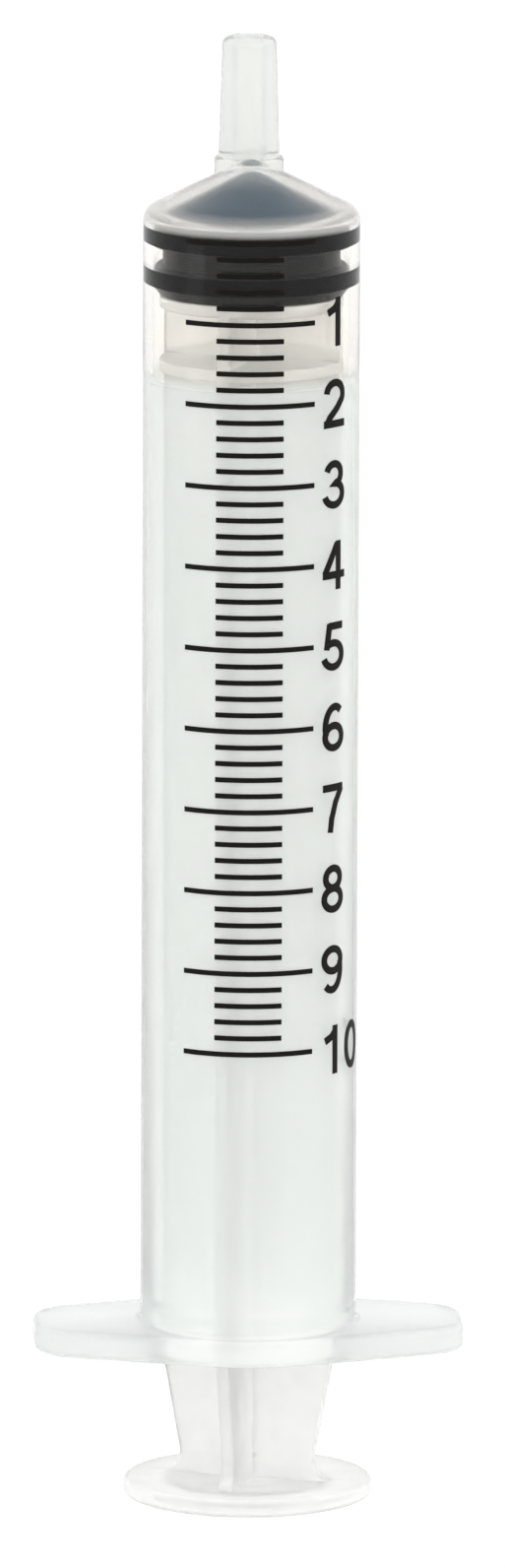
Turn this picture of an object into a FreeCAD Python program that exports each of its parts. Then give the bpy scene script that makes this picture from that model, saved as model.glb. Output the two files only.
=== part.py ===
import FreeCAD, Part
import math
import os
import re
import Sketcher

# A 10 ml syringe whose luer slip tip sits off the barrel's axis.
# It stands on its thumb rest with the tip upward and the stopper fully home.
# Z is up, the finger flange runs along X, the printed scale faces -Y and the
# tip is offset towards +Y. The origin is the centre of the thumb rest's underside.

# Driving sizes, in millimetres, degrees, millilitres and counts.
DRIVING_SIZES = {
    # Barrel tube
    "bore_diameter": 14.5,
    "barrel_wall": 0.75,
    "barrel_length": 85.25,
    "shoulder_chamfer": 0.74,
    "open_end_chamfer": 0.25,
    # Low ring inside the open end, which keeps the stopper in
    "bead_height": 3.3,
    "bead_width": 1.2,
    "bead_rise": 0.27,
    # Nose cone
    "cone_slope": 26.7,
    "cone_wall": 0.93,
    "nose_flat": 0.3,
    # Finger flange, whose round middle stands out from the tube by its ledge
    "flange_length": 31.8,
    "flange_hub_ledge": 1.4,
    "flange_thickness": 2.0,
    "flange_edge_chamfer": 0.4,
    "flange_root_chamfer": 0.3,
    "wing_taper": 20.0,
    "wing_corner_round": 3.5,
    # Luer slip tip, whose diameter shrinks by luer_taper for each unit of height
    "tip_offset": 4.0,
    "tip_length": 8.9,
    "tip_end_diameter": 3.97,
    "tip_end_chamfer": 0.3,
    "luer_taper": 0.06,
    "channel_diameter": 1.9,
    "collar_diameter": 5.1,
    "collar_rise": 3.4,
    "collar_chamfer": 0.25,
    "collar_root_chamfer": 0.3,
    # Rubber stopper
    "stopper_clearance": 0.05,
    "stopper_cone_gap": 0.16,
    "stopper_rib_width": 1.4,
    "stopper_rib_chamfer": 0.2,
    "stopper_groove_width": 1.5,
    "stopper_groove_depth": 0.7,
    "stopper_front_inset": 0.4,
    "stopper_front_height": 0.45,
    "stopper_bevel_inset": 0.5,
    "stopper_bevel_height": 0.75,
    # Plunger head and the hollow that snaps over it
    "seat_gap": 0.05,
    "head_clearance": 0.08,
    "head_neck_diameter": 4.8,
    "head_neck_length": 1.3,
    "head_diameter": 7.2,
    "head_rim_height": 1.7,
    "head_nose_diameter": 3.6,
    "head_nose_height": 1.1,
    # Plunger stem
    "plunger_clearance": 0.45,
    "rib_thickness": 1.15,
    "rib_edge_thickness": 0.95,
    "rib_count": 4,
    "rib_turn": -20.0,
    "disc_thickness": 0.9,
    "disc_spacing": 4.75,
    "taper_height": 11.8,
    "waist_diameter": 9.6,
    "flare_round": 1.6,
    # Thumb rest, just narrower than the flange's middle so that a syringe lies level
    "thumb_rest_inset": 0.2,
    "thumb_rest_thickness": 1.3,
    "thumb_rest_chamfer": 0.35,
    "grip_ring_diameter": 5.0,
    "grip_ring_pitch": 3.0,
    "grip_ring_width": 0.7,
    "grip_ring_depth": 0.25,
    "grip_gap": 10.0,
    # Printed scale
    "ink_thickness": 0.05,
    "print_turn": -3.6,
    "scale_volume": 10,
    "long_mark_volume": 1.0,
    "short_marks_between": 4,
    "long_mark_angle": 72.4,
    "short_mark_angle": 36.0,
    "long_mark_width": 0.38,
    "short_mark_width": 0.4,
}

# Sizes that follow from the driving ones. Heights on the barrel start at its
# open end, and heights on the stopper start at its rear face.
DERIVED_SIZES = {
    "bore_radius": "bore_diameter / 2",
    "barrel_radius": "bore_radius + barrel_wall",
    "shoulder_radius": "barrel_radius - shoulder_chamfer * cos(cone_slope)",
    "shoulder_top": "barrel_length + shoulder_chamfer * sin(cone_slope)",
    "cone_top": "barrel_length + barrel_radius * tan(cone_slope)",
    "nose_drop": "nose_flat * tan(cone_slope)",
    "inner_cone_top": "cone_top - cone_wall / cos(cone_slope)",
    "inner_shoulder": "inner_cone_top - bore_radius * tan(cone_slope)",
    "wing_half_length": "flange_length / 2",
    "flange_hub_radius": "barrel_radius + flange_hub_ledge",
    "flange_crown": "flange_hub_radius / cos(wing_taper)",
    "wing_half_width": "flange_crown - wing_half_length * tan(wing_taper)",
    "collar_top": "barrel_length + collar_rise",
    "tip_top": "collar_top + tip_length",
    "tip_root_radius": "tip_end_diameter / 2 + tip_length * luer_taper / 2",
    "stopper_radius": "bore_radius - stopper_clearance",
    "stopper_cone_radius": "stopper_radius - stopper_front_inset",
    "rear_rib_top": "stopper_bevel_height + stopper_rib_width",
    "front_rib_base": "rear_rib_top + stopper_groove_width",
    "front_rib_top": "front_rib_base + stopper_rib_width",
    "stopper_cone_base": "front_rib_top + stopper_front_height",
    "stopper_cone_top": "stopper_cone_base + stopper_cone_radius * tan(cone_slope)",
    "barrel_lift": "thumb_rest_thickness + grip_gap",
    "stopper_cone_lift": "barrel_lift + inner_cone_top - stopper_cone_gap / cos(cone_slope)",
    "stopper_lift": "stopper_cone_lift - stopper_cone_top",
    "plunger_seat": "stopper_lift - seat_gap",
    "scale_lift": "stopper_lift + front_rib_top - stopper_rib_chamfer",
    "plunger_radius": "bore_radius - plunger_clearance",
    "thumb_rest_radius": "flange_hub_radius - thumb_rest_inset",
    "head_rim_base": "plunger_seat + head_neck_length",
    "head_rim_top": "head_rim_base + head_rim_height",
    "head_top": "head_rim_top + head_nose_height",
    "mouth_depth": "head_neck_length - seat_gap - head_clearance",
    "hollow_rim_top": "head_neck_length + head_rim_height - seat_gap",
    "hollow_top": "hollow_rim_top + head_nose_height + head_clearance",
    "upper_disc_base": "plunger_seat - disc_thickness",
    "lower_disc_base": "upper_disc_base - disc_spacing",
    "long_mark_spacing": "1000 * long_mark_volume / (pi * bore_radius ^ 2)",
    "short_mark_spacing": "long_mark_spacing / (short_marks_between + 1)",
    "scale_length": "long_mark_spacing * scale_volume / long_mark_volume",
}

doc = FreeCAD.newDocument("eccentric_tip_syringe")
sheet = doc.addObject("Spreadsheet::Sheet", "sizes")


def fill_sheet():
    """Write every size into its own cell, named by an alias."""
    formulas = {name: f"={formula}" for name, formula in DERIVED_SIZES.items()}
    cells = {name: str(number) for name, number in DRIVING_SIZES.items()} | formulas
    for row, (name, text) in enumerate(cells.items(), start=1):
        sheet.set(f"A{row}", name)
        sheet.set(f"B{row}", text)
        sheet.setAlias(f"B{row}", name)
    doc.recompute()


def value(formula):
    """Work out a formula of cell names."""
    return float(sheet.evalExpression(formula))


def bind(thing, path, formula):
    """Tie a property or constraint to a formula of cell names."""
    thing.setExpression(path, re.sub(r"[a-z][a-z_]*", r"sizes.\g<0>", formula))


def origin_feature(body, role):
    """Find one of a body's own origin planes or axes."""
    return next(item for item in body.Origin.OriginFeatures if item.Role == role)


def new_body(label):
    """Start a sub-part."""
    body = doc.addObject("PartDesign::Body", label)
    body.Label = label
    return body


def new_sketch(body, name, role):
    """Start a sketch on one of the body's own origin planes."""
    sketch = body.newObject("Sketcher::SketchObject", name)
    sketch.AttachmentSupport = [(origin_feature(body, role), "")]
    sketch.MapMode = "FlatFace"
    return sketch


def fix_point(sketch, geometry, position, corner):
    """Hold a point at the corner's own formulas for x and y."""
    for kind, formula in zip(("DistanceX", "DistanceY"), corner):
        limit = Sketcher.Constraint(kind, -1, 1, geometry, position, value(formula))
        index = sketch.addConstraint(limit)
        bind(sketch, f"Constraints[{index}]", formula)


def rounded_corner(before, at, after, radius):
    """Return the arc that rounds a corner, where it starts and ends, and if it runs backwards."""
    to_before = (before - at).normalize()
    to_after = (after - at).normalize()
    half_angle = to_before.getAngle(to_after) / 2
    reach = radius / math.tan(half_angle)
    start = at + to_before * reach
    end = at + to_after * reach
    centre = at + (to_before + to_after).normalize() * (radius / math.sin(half_angle))
    backwards = (start - centre).cross(end - centre).z < 0
    first, last = (end, start) if backwards else (start, end)
    angles = [math.atan2(point.y - centre.y, point.x - centre.x) for point in (first, last)]
    if angles[1] < angles[0]:
        angles[1] += 2 * math.pi
    circle = Part.Circle(centre, FreeCAD.Vector(0, 0, 1), radius)
    return Part.ArcOfCircle(circle, *angles), start, end, backwards


def draw_outline(sketch, corners):
    """Draw a closed outline through corners, each (x, y) or (x, y, rounding radius)."""
    count = len(corners)
    points = [FreeCAD.Vector(value(corner[0]), value(corner[1]), 0) for corner in corners]
    arcs = {}
    for index, corner in enumerate(corners):
        if len(corner) == 3:
            before, after = points[index - 1], points[(index + 1) % count]
            arcs[index] = rounded_corner(before, points[index], after, value(corner[2]))
    lines = []
    for index in range(count):
        following = (index + 1) % count
        start = arcs[index][2] if index in arcs else points[index]
        end = arcs[following][1] if following in arcs else points[following]
        lines.append(sketch.addGeometry(Part.LineSegment(start, end), False))
    for index, corner in enumerate(corners):
        incoming, outgoing = lines[index - 1], lines[index]
        if index not in arcs:
            sketch.addConstraint(Sketcher.Constraint("Coincident", incoming, 2, outgoing, 1))
            fix_point(sketch, outgoing, 1, corner)
            continue
        curve, _, _, backwards = arcs[index]
        arc = sketch.addGeometry(curve, False)
        first, last = (2, 1) if backwards else (1, 2)
        sketch.addConstraint(Sketcher.Constraint("Tangent", incoming, 2, arc, first))
        sketch.addConstraint(Sketcher.Constraint("Tangent", arc, last, outgoing, 1))
        radius = sketch.addConstraint(Sketcher.Constraint("Radius", arc, value(corner[2])))
        bind(sketch, f"Constraints[{radius}]", corner[2])
        apex = sketch.addGeometry(Part.Point(points[index]), True)
        sketch.addConstraint(Sketcher.Constraint("PointOnObject", apex, 1, incoming))
        sketch.addConstraint(Sketcher.Constraint("PointOnObject", apex, 1, outgoing))
        fix_point(sketch, apex, 1, corner)


def turn(body, kind, name, outlines, role="XZ_Plane", axis_offset=None, angle=None):
    """Revolve outlines, of (radius, height) corners, as a Revolution or a Groove."""
    sketch = new_sketch(body, f"{name}_outline", role)
    if axis_offset:
        bind(sketch, "AttachmentOffset.Base.x", axis_offset)
    for corners in outlines:
        draw_outline(sketch, corners)
    feature = body.newObject(f"PartDesign::{kind}", name)
    feature.Profile = sketch
    feature.ReferenceAxis = (sketch, ["V_Axis"])
    if angle:
        feature.Midplane = True
        bind(feature, "Angle", angle)
    doc.recompute()
    return feature


def pad(body, name, corners, length, base=None):
    """Raise an outline drawn on the body's own XY plane, or on a level above it."""
    sketch = new_sketch(body, f"{name}_outline", "XY_Plane")
    if base:
        bind(sketch, "AttachmentOffset.Base.z", base)
    draw_outline(sketch, corners)
    feature = body.newObject("PartDesign::Pad", name)
    feature.Profile = sketch
    bind(feature, "Length", length)
    doc.recompute()
    return feature


def chamfer_edges(body, name, size, chosen):
    """Chamfer the edges of the body that the given test picks."""
    base = body.Tip
    names = [f"Edge{index}" for index, edge in enumerate(base.Shape.Edges, start=1) if chosen(edge)]
    feature = body.newObject("PartDesign::Chamfer", name)
    feature.Base = (base, names)
    bind(feature, "Size", size)
    doc.recompute()
    return feature


def is_level(edge, height):
    """Tell if an edge lies in the horizontal plane at this height."""
    return all(abs(end - value(height)) < 1e-4 for end in (edge.BoundBox.ZMin, edge.BoundBox.ZMax))


def reach(edge):
    """Return how far an edge's middle stands from the Z axis."""
    middle = edge.valueAt((edge.FirstParameter + edge.LastParameter) / 2)
    return math.hypot(middle.x, middle.y)


def blunt_cone(top):
    """Return the corners of a cone's blunt top, from the flank inward to the axis."""
    return [("nose_flat", f"{top} - nose_drop"), ("0", f"{top} - nose_drop")]


def build_barrel():
    """Barrel, nose cone, luer tip and finger flange as one moulding."""
    body = new_body("barrel")
    tube = [
        ("0", "0"),
        ("barrel_radius", "0"),
        ("barrel_radius", "barrel_length - shoulder_chamfer"),
        ("shoulder_radius", "shoulder_top"),
    ]
    turn(body, "Revolution", "tube", [tube + blunt_cone("cone_top")])

    flange = [
        ("0", "flange_crown", "flange_hub_radius"),
        ("-wing_half_length", "wing_half_width", "wing_corner_round"),
        ("-wing_half_length", "-wing_half_width", "wing_corner_round"),
        ("0", "-flange_crown", "flange_hub_radius"),
        ("wing_half_length", "-wing_half_width", "wing_corner_round"),
        ("wing_half_length", "wing_half_width", "wing_corner_round"),
    ]
    pad(body, "flange", flange, "flange_thickness")
    tube_edge = value("barrel_radius") + 1e-3
    faces = ("0", "flange_thickness")
    chamfer_edges(
        body,
        "flange_edges",
        "flange_edge_chamfer",
        lambda edge: any(is_level(edge, face) for face in faces) and reach(edge) > tube_edge,
    )
    chamfer_edges(
        body,
        "flange_root",
        "flange_root_chamfer",
        lambda edge: is_level(edge, faces[1]) and abs(reach(edge) - value("barrel_radius")) < 1e-3,
    )

    collar = [
        ("0", "barrel_length"),
        ("collar_diameter / 2", "barrel_length"),
        ("collar_diameter / 2", "collar_top - collar_chamfer"),
        ("collar_diameter / 2 - collar_chamfer", "collar_top"),
        ("tip_root_radius", "collar_top"),
        ("tip_end_diameter / 2", "tip_top - tip_end_chamfer"),
        ("tip_end_diameter / 2 - tip_end_chamfer", "tip_top"),
        ("0", "tip_top"),
    ]
    turn(body, "Revolution", "tip", [collar], "YZ_Plane", "tip_offset")
    chamfer_edges(body, "collar_root", "collar_root_chamfer", is_collar_root)

    bore = [
        ("0", "0"),
        ("bore_radius + open_end_chamfer", "0"),
        ("bore_radius", "open_end_chamfer"),
        ("bore_radius", "bead_height - bead_width / 2"),
        ("bore_radius - bead_rise", "bead_height"),
        ("bore_radius", "bead_height + bead_width / 2"),
        ("bore_radius", "inner_shoulder"),
    ]
    turn(body, "Groove", "bore", [bore + blunt_cone("inner_cone_top")])
    channel = [
        ("0", "inner_shoulder"),
        ("channel_diameter / 2", "inner_shoulder"),
        ("channel_diameter / 2", "tip_top"),
        ("0", "tip_top"),
    ]
    turn(body, "Groove", "channel", [channel], "YZ_Plane", "tip_offset")
    bind(body, "Placement.Base.z", "barrel_lift")
    return body


def is_collar_root(edge):
    """Tell if an edge is where the tip's collar meets the nose cone."""
    middle = edge.valueAt((edge.FirstParameter + edge.LastParameter) / 2)
    from_tip_axis = math.hypot(middle.x, middle.y - value("tip_offset"))
    on_collar = abs(from_tip_axis - value("collar_diameter / 2")) < 1e-3
    goes_round = edge.BoundBox.XLength > value("collar_diameter / 2")
    return on_collar and goes_round and not is_level(edge, "collar_top - collar_chamfer")


def build_stopper():
    """Rubber stopper with two sealing ribs, a cone and a hollow for the plunger's head."""
    body = new_body("stopper")
    skin = [
        ("0", "0"),
        ("stopper_radius - stopper_bevel_inset", "0"),
        ("stopper_radius", "stopper_bevel_height"),
        ("stopper_radius", "rear_rib_top - stopper_rib_chamfer"),
        ("stopper_radius - stopper_rib_chamfer", "rear_rib_top"),
        ("stopper_radius - stopper_groove_depth", "rear_rib_top"),
        ("stopper_radius - stopper_groove_depth", "front_rib_base"),
        ("stopper_radius - stopper_rib_chamfer", "front_rib_base"),
        ("stopper_radius", "front_rib_base + stopper_rib_chamfer"),
        ("stopper_radius", "front_rib_top - stopper_rib_chamfer"),
        ("stopper_cone_radius", "stopper_cone_base"),
    ]
    turn(body, "Revolution", "skin", [skin + blunt_cone("stopper_cone_top")])
    hollow = [
        ("0", "0"),
        ("head_neck_diameter / 2 + head_clearance", "0"),
        ("head_neck_diameter / 2 + head_clearance", "mouth_depth"),
        ("head_diameter / 2 + head_clearance", "mouth_depth"),
        ("head_diameter / 2 + head_clearance", "hollow_rim_top"),
        ("head_nose_diameter / 2 + head_clearance", "hollow_top"),
        ("0", "hollow_top"),
    ]
    turn(body, "Groove", "hollow", [hollow])
    bind(body, "Placement.Base.z", "stopper_lift")
    return body


def build_plunger():
    """Plunger stem of four ribs, with its discs, snap head and thumb rest."""
    body = new_body("plunger")
    thumb_rest = [
        ("0", "0"),
        ("thumb_rest_radius - thumb_rest_chamfer", "0"),
        ("thumb_rest_radius", "thumb_rest_chamfer"),
        ("thumb_rest_radius", "thumb_rest_thickness - thumb_rest_chamfer"),
        ("thumb_rest_radius - thumb_rest_chamfer", "thumb_rest_thickness"),
        ("0", "thumb_rest_thickness"),
    ]
    turn(body, "Revolution", "thumb_rest", [thumb_rest])

    rib = [
        ("0", "-rib_thickness / 2"),
        ("plunger_radius", "-rib_edge_thickness / 2"),
        ("plunger_radius", "rib_edge_thickness / 2"),
        ("0", "rib_thickness / 2"),
    ]
    rib_base = "thumb_rest_thickness / 2"
    first_rib = pad(body, "rib", rib, f"upper_disc_base - {rib_base}", rib_base)
    ribs = body.newObject("PartDesign::PolarPattern", "ribs")
    ribs.Originals = [first_rib]
    ribs.Axis = (origin_feature(body, "Z_Axis"), [""])
    ribs.Angle = 360
    bind(ribs, "Occurrences", "rib_count")
    body.Tip = ribs
    doc.recompute()

    waist = [
        ("plunger_radius", "taper_height"),
        ("waist_diameter / 2", "thumb_rest_thickness", "flare_round"),
        ("thumb_rest_radius", "thumb_rest_thickness"),
        ("thumb_rest_radius", "taper_height"),
    ]
    turn(body, "Groove", "waist", [waist])

    discs = []
    for base in ("upper_disc_base", "lower_disc_base"):
        top = f"{base} + disc_thickness"
        discs.append([("0", base), ("plunger_radius", base), ("plunger_radius", top), ("0", top)])
    turn(body, "Revolution", "discs", discs)

    head = [
        ("0", "upper_disc_base"),
        ("head_neck_diameter / 2", "upper_disc_base"),
        ("head_neck_diameter / 2", "head_rim_base"),
        ("head_diameter / 2", "head_rim_base"),
        ("head_diameter / 2", "head_rim_top"),
        ("head_nose_diameter / 2", "head_top"),
        ("0", "head_top"),
    ]
    turn(body, "Revolution", "head", [head])

    rings = []
    for step in range(2):
        inner = f"grip_ring_diameter / 2 + {step} * grip_ring_pitch"
        outer = f"{inner} + grip_ring_width"
        rings.append([(inner, "0"), (outer, "0"), (outer, "grip_ring_depth"), (inner, "grip_ring_depth")])
    turn(body, "Groove", "grip_rings", rings)
    body.Placement.Rotation = FreeCAD.Rotation(FreeCAD.Vector(0, 0, 1), value("rib_turn"))
    bind(body, "Placement.Rotation.Angle", "rib_turn")
    return body


def mark(body, name, angle, width, drop):
    """Print one line of the scale, its middle this far below the zero line."""
    low = f"-{drop} - {width} / 2"
    high = f"-{drop} + {width} / 2"
    line = [
        ("barrel_radius", low),
        ("barrel_radius + ink_thickness", low),
        ("barrel_radius + ink_thickness", high),
        ("barrel_radius", high),
    ]
    return turn(body, "Revolution", name, [line], angle=angle)


def row_down(body, name, length, count):
    """Start a row that repeats a mark downward along the barrel."""
    row = body.newObject("PartDesign::LinearPattern", name)
    row.Direction = (origin_feature(body, "Z_Axis"), [""])
    row.Reversed = True
    bind(row, "Length", length)
    bind(row, "Occurrences", count)
    return row


def place_scale(body):
    """Set a row of marks on the barrel's front, level with the stopper's reading edge."""
    body.Placement.Rotation = FreeCAD.Rotation(FreeCAD.Vector(0, 0, 1), value("print_turn - 90"))
    bind(body, "Placement.Rotation.Angle", "print_turn - 90")
    bind(body, "Placement.Base.z", "scale_lift")


def build_long_marks():
    """Lines of ink at each millilitre."""
    body = new_body("scale_long_marks")
    body.AllowCompound = True
    first = mark(body, "long_mark", "long_mark_angle", "long_mark_width", "0")
    row = row_down(body, "long_row", "scale_length", "scale_volume / long_mark_volume + 1")
    row.Originals = [first]
    body.Tip = row
    place_scale(body)
    return body


def build_short_marks():
    """Shorter lines of ink between those of each millilitre."""
    body = new_body("scale_short_marks")
    body.AllowCompound = True
    first = mark(body, "short_mark", "short_mark_angle", "short_mark_width", "short_mark_spacing")
    group_length = "(short_marks_between - 1) * short_mark_spacing"
    group = row_down(body, "short_group", group_length, "short_marks_between")
    row_length = "scale_length - long_mark_spacing"
    row = row_down(body, "short_row", row_length, "scale_volume / long_mark_volume")
    marks = body.newObject("PartDesign::MultiTransform", "short_marks")
    marks.Originals = [first]
    marks.Transformations = [group, row]
    body.Tip = marks
    place_scale(body)
    return body


def check(body):
    """Stop if a feature failed, cut or added nothing, or left a faulty shape."""
    solids = [item for item in body.Group if item.isDerivedFrom("PartDesign::Feature")]
    volume = 0.0
    for feature in solids:
        if feature.Shape.isNull():
            continue
        if feature.TypeId == "PartDesign::Groove" and feature.Shape.Volume >= volume:
            raise RuntimeError(f"{body.Label}: {feature.Name} cuts nothing")
        if feature.TypeId == "PartDesign::Revolution" and feature.Shape.Volume <= volume:
            raise RuntimeError(f"{body.Label}: {feature.Name} adds nothing")
        volume = feature.Shape.Volume
    if body.Shape.isNull() or not body.Shape.isValid():
        raise RuntimeError(f"{body.Label} has a faulty shape")


def main():
    fill_sheet()
    builders = (build_barrel, build_stopper, build_plunger, build_long_marks, build_short_marks)
    bodies = [build() for build in builders]
    doc.recompute()
    for item in doc.Objects:
        if "Invalid" in item.State or "Error" in item.State:
            raise RuntimeError(f"{item.Name} did not compute")
    os.makedirs("parts", exist_ok=True)
    for body in bodies:
        check(body)
        body.Shape.exportStep(f"parts/{body.Label}.step")
        print(body.Label, len(body.Shape.Solids), "solids", round(body.Shape.Volume, 2), "mm3")


main()
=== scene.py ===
import math
from functools import partial

import bmesh
import bpy
from bpy.props import FloatProperty, FloatVectorProperty, IntProperty, PointerProperty
from bpy.types import Operator, Panel, PropertyGroup
from mathutils import Matrix, Vector


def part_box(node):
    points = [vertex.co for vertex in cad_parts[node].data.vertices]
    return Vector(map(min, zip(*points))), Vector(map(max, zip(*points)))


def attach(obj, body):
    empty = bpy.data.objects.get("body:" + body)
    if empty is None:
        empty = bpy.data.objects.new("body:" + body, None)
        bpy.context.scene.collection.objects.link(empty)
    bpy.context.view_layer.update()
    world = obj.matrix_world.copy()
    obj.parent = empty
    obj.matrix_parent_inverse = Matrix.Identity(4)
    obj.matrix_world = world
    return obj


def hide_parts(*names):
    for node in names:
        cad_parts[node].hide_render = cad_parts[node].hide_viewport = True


bl_info = {
    "name": "Eccentric tip syringe",
    "version": (1, 0, 0),
    "blender": (4, 5, 0),
    "location": "3D View > Sidebar > Syringe",
    "description": "Builds a syringe with an off-centre tip round its packed frame",
    "category": "Object",
}

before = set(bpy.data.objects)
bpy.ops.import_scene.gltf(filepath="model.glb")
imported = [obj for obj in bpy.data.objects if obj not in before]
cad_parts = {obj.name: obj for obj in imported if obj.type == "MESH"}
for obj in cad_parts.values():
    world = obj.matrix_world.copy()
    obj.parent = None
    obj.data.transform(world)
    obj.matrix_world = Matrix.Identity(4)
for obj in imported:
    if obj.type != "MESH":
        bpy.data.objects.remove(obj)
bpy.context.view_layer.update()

MM = 0.001
BARREL_COLUMNS = 240
TURNED_COLUMNS = 160
ARC_STEPS = 6
CREASE = math.radians(32)
SEAT_GAP = 0.05 * MM
# In millimetres, as every length's default below is
LINE_WIDTH = 0.38


def linear(hex_colour):
    """Turn an sRGB hex colour such as #f2f4f3 into linear red, green, blue and alpha."""
    channels = [int(hex_colour[start : start + 2], 16) / 255 for start in (1, 3, 5)]
    curve = [c / 12.92 if c <= 0.04045 else ((c + 0.055) / 1.055) ** 2.4 for c in channels]
    return (*curve, 1.0)


# Sizes and colours that a user would change


def plain(name, description, default, unit="NONE"):
    """Return a property that holds a plain number."""
    return FloatProperty(name=name, description=description, default=default, unit=unit)


def mm(name, description, length):
    """Return a property that holds a length, whose default is given in millimetres."""
    return plain(name, description, length * MM, "LENGTH")


def degrees(name, description, angle):
    """Return a property that holds an angle, whose default is given in degrees."""
    default = math.radians(angle)
    return FloatProperty(name=name, description=description, default=default, subtype="ANGLE")


def srgb(name, description, hex_colour):
    """Return a property that holds a colour, whose default is given as sRGB hex."""
    return FloatVectorProperty(
        name=name, description=description, default=linear(hex_colour),
        size=4, min=0.0, max=1.0, subtype="COLOR",
    )


class BarrelSizes(PropertyGroup):
    """The clear moulding: tube, nose cone, finger flange and luer slip tip."""

    bore: mm("Bore", "Inside diameter of the tube", 14.5)
    wall: mm("Wall", "Thickness of the tube", 0.75)
    tube_length: mm("Tube length", "From the open end to the nose cone", 85.25)
    shoulder_round: mm("Shoulder round", "Radius from the tube to the nose cone", 1.2)
    cone_slope: degrees("Nose slope", "How steep the nose cone is", 26.7)
    cone_wall: mm("Nose wall", "Thickness of the nose cone", 0.93)
    apex_round: mm("Nose apex round", "How much the cone's point is blunted", 0.5)
    bead_height: mm("Bead height", "Height of the ring inside the open end", 3.3)
    bead_width: mm("Bead width", "Width of that ring", 1.2)
    bead_rise: mm("Bead rise", "How far that ring stands into the bore", 0.27)
    flange_length: mm("Flange length", "From wing tip to wing tip", 31.8)
    flange_ledge: mm("Flange ledge", "How far the flange's round middle stands out from the tube", 1.4)
    flange_thickness: mm("Flange thickness", "Thickness of the flange", 2.0)
    flange_edge_round: mm("Flange edge round", "Radius along its edges", 0.5)
    flange_root_round: mm("Flange root round", "Radius from it to the tube", 0.45)
    wing_taper: degrees("Wing taper", "Angle of the wings' edges to the flange's length", 20.0)
    wing_corner_round: mm("Wing corner round", "Radius of the wings' corners", 3.5)
    tip_offset: mm("Tip offset", "Distance of the tip's axis from the tube's", 4.0)
    tip_length: mm("Tip length", "Length of the tip above its collar", 8.9)
    tip_end: mm("Tip end", "Diameter of the tip at its end", 3.97)
    tip_round: mm("Tip round", "Radius round the tip's end", 0.55)
    luer_taper: plain("Luer taper", "Change of diameter for each unit of length", 0.06)
    channel: mm("Channel", "Diameter of the tip's channel", 1.9)
    collar: mm("Collar", "Diameter of the tip's root collar", 5.1)
    collar_rise: mm("Collar rise", "Height of its top above the tube", 3.4)
    collar_round: mm("Collar round", "Radius of the collar's edge", 0.25)


class StopperSizes(PropertyGroup):
    """The rubber stopper, with two sealing ribs and a cone."""

    rib_width: mm("Rib width", "Width of each sealing rib", 1.4)
    rib_round: mm("Rib round", "Radius of the ribs' corners", 0.22)
    squeeze: mm("Squeeze", "How far the ribs press past the bore's own radius", 0.01)
    groove_width: mm("Groove width", "Gap between the two ribs", 1.5)
    groove_depth: mm("Groove depth", "Depth of that gap", 0.7)
    front_inset: mm("Front inset", "How far the cone starts inside the rib", 0.4)
    front_height: mm("Front height", "Height from the front rib to the cone", 0.45)
    bevel_inset: mm("Rear bevel inset", "How far the rear face is drawn in", 0.5)
    bevel_height: mm("Rear bevel height", "Height of the rear bevel", 0.75)


class PlungerSizes(PropertyGroup):
    """The ribbed plunger, with two discs, a snap head and a thumb rest."""

    clearance: mm("Clearance", "Gap between the ribs and the bore", 0.45)
    rib_count: IntProperty(name="Ribs", description="Number of long ribs", default=4, min=2, max=8)
    rib_thickness: mm("Rib thickness", "Thickness at the middle", 1.15)
    rib_edge: mm("Rib edge", "Thickness at the outer edge", 0.95)
    rib_round: mm("Rib round", "Radius along the ribs' edges", 0.2)
    rib_turn: degrees("Rib turn", "Turn of the ribs round the axis", -20.0)
    disc_thickness: mm("Disc thickness", "Thickness of the two discs", 0.9)
    disc_spacing: mm("Disc spacing", "From one disc to the other", 4.75)
    taper_height: mm("Taper height", "Height at which the ribs reach their full width", 11.8)
    waist: mm("Waist", "Width of the ribs above the thumb rest", 9.6)
    flare_round: mm("Flare round", "Radius from the ribs to the thumb rest", 1.6)
    thumb_rest: mm("Thumb rest", "Diameter of the thumb rest", 18.4)
    thumb_rest_thickness: mm("Thumb rest thickness", "Its thickness", 1.3)
    thumb_rest_round: mm("Thumb rest round", "Radius round its rim", 0.42)
    grip_ring: mm("Grip ring", "Inside diameter of the first grip ring", 5.0)
    grip_pitch: mm("Grip pitch", "From one grip ring to the next", 3.0)
    grip_width: mm("Grip width", "Width of the grip rings", 0.7)
    grip_depth: mm("Grip depth", "Depth of the grip rings", 0.25)


class ScaleSizes(PropertyGroup):
    """The printed scale: its lines and numerals."""

    volume: IntProperty(
        name="Volume", description="Millilitres on the scale", default=10, min=1, max=60
    )
    parts: IntProperty(
        name="Parts", description="Divisions of each millilitre", default=5, min=1, max=10
    )
    zero_height: mm(
        "Zero height",
        "Height of the scale's first line",
        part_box("scale_long_marks")[1].z / MM - LINE_WIDTH / 2,
    )
    print_turn: degrees("Print turn", "Turn of the print round the tube", -3.6)
    long_angle: degrees("Long line", "Angle that a long line covers", 72.4)
    short_angle: degrees("Short line", "Angle that a short line covers", 36.0)
    line_width: mm("Line width", "Width of the lines", LINE_WIDTH)
    ink_rise: mm("Ink rise", "How far the ink stands off the wall", 0.04)
    ink_bite: mm("Ink bite", "How far the ink soaks into the wall", 0.01)
    numeral_height: mm("Numeral height", "Height of the numerals", 3.65)
    numeral_width: mm("Numeral width", "Width of a numeral", 2.45)
    numeral_weight: mm("Numeral weight", "Width of the numerals' strokes", 0.56)
    numeral_angle: degrees(
        "Numeral angle", "Angle from the print's middle to the middle of a numeral", 51.0
    )
    numeral_drop: mm("Numeral drop", "How far a numeral's middle lies below its line", 0.15)


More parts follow.
